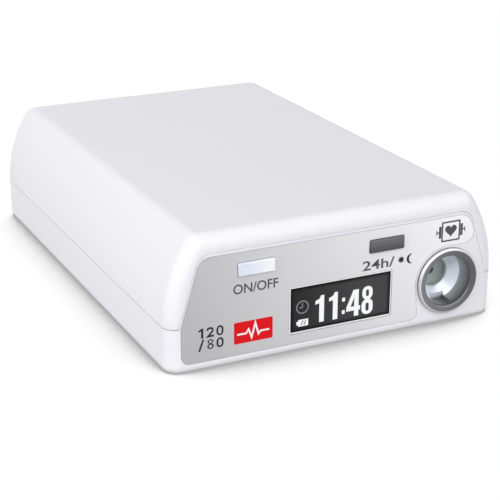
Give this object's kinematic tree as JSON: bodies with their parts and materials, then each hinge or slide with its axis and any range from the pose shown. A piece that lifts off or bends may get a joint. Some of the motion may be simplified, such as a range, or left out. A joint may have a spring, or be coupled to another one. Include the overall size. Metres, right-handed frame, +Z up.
{
  "type": "ambulatory blood pressure monitor",
  "caption": "Pocket blood pressure recorder: rounded white case, silver arched front panel with keys, small display and a metal air socket for the cuff hose.",
  "frame": {"origin": "middle of the flat base that the monitor lies on", "axes": "+Z up from the base, +Y along the length from the front panel to the back, +X to the right as seen from the front"},
  "size_m": [0.0662, 0.0955, 0.0245],
  "materials": {
    "case_white": "fine satin moulded ABS",
    "panel_silver": "printed silver film with a satin coat",
    "window_dark": "clear coated dark acrylic",
    "start_key_pale": "translucent pale blue, semi-gloss",
    "auto_key_grey": "dark grey, semi-gloss",
    "black_plastic": "moulded black plastic",
    "nickel_plate": "nickel plated",
    "board_green": "solder resist on glass epoxy",
    "capacitor_tan": "moulded tantalum capacitors",
    "screw_steel": "plain zinc plated steel",
    "socket_chrome": "turned and chrome plated",
    "black_rubber": "moulded rubber",
    "nut_brass": "machined",
    "silicone": "milky silicone tube",
    "works_plastic": "unpainted acetal",
    "magnet_dark": "ferrite",
    "winding_copper": "enamelled copper wire",
    "cell_sleeve": "plain printed sleeve over a cell"
  },
  "bodies": {
    "housing": {"upper_case": "case_white", "lower_case": "case_white", "front_label": "panel_silver", "display_window": "window_dark", "start_switch": "black_plastic", "auto_switch": "black_plastic", "display_module": "black_plastic", "display_holder": "black_plastic", "front_board": "board_green", "main_board": "board_green", "board_header": "black_plastic", "board_screws": "screw_steel", "microcontroller": "black_plastic", "memory_chip": "black_plastic", "crystal": "nickel_plate", "capacitors": "capacitor_tan", "buzzer": "black_plastic", "clock_cell": "nickel_plate", "data_socket": "nickel_plate", "air_socket": "socket_chrome", "socket_gasket": "black_rubber", "socket_nut": "nut_brass", "socket_tube": "silicone", "air_manifold": "works_plastic", "pump_tube": "silicone", "valve_tube": "silicone", "sensor_tubes": "silicone", "pressure_sensor": "black_plastic", "safety_sensor": "black_plastic", "pump_head": "works_plastic", "pump_end_plate": "works_plastic", "pump_diaphragm": "black_rubber", "pump_wobble_plate": "works_plastic", "motor_can": "screw_steel", "motor_magnets": "magnet_dark", "motor_end_cap": "works_plastic", "motor_dampers": "black_rubber", "valve_block": "works_plastic", "valve_coil": "winding_copper", "valve_yoke": "screw_steel", "valve_core": "screw_steel", "front_cell": "cell_sleeve", "rear_cell": "cell_sleeve", "negative_contact": "nickel_plate", "positive_contact": "nickel_plate", "bridge_contact": "nickel_plate", "battery_springs": "nickel_plate", "case_screws": "screw_steel"},
    "start_key": {"start_key": "start_key_pale", "start_switch_button": "nickel_plate"},
    "auto_key": {"auto_key": "auto_key_grey", "auto_switch_button": "nickel_plate"},
    "battery_cover": {"battery_cover": "case_white"},
    "rotor": {"motor_rotor": "winding_copper", "pump_crank": "works_plastic"},
    "valve_plunger": {"valve_plunger": "nickel_plate"}
  },
  "joints": [
    {"name": "start_key_press", "type": "slide", "parent": "housing", "child": "start_key", "axis": [0, 1, 0], "range_m": [0, 0.0004], "stiffness_N_per_m": 1500, "springref_m": -0.0002},
    {"name": "auto_key_press", "type": "slide", "parent": "housing", "child": "auto_key", "axis": [0, 1, 0], "range_m": [0, 0.0004], "stiffness_N_per_m": 1500, "springref_m": -0.0002},
    {"name": "battery_cover_slide", "type": "slide", "parent": "housing", "child": "battery_cover", "axis": [0, 1, 0], "range_m": [0, 0.035]},
    {"name": "motor_spin", "type": "hinge", "parent": "housing", "child": "rotor", "pos_m": [-0.018, -0.008, 0.0096], "axis": [1, 0, 0], "continuous": true},
    {"name": "valve_plunger_travel", "type": "slide", "parent": "housing", "child": "valve_plunger", "axis": [-1, 0, 0], "range_m": [0, 0.0005], "stiffness_N_per_m": 300, "springref_m": -0.0005}
  ]
}
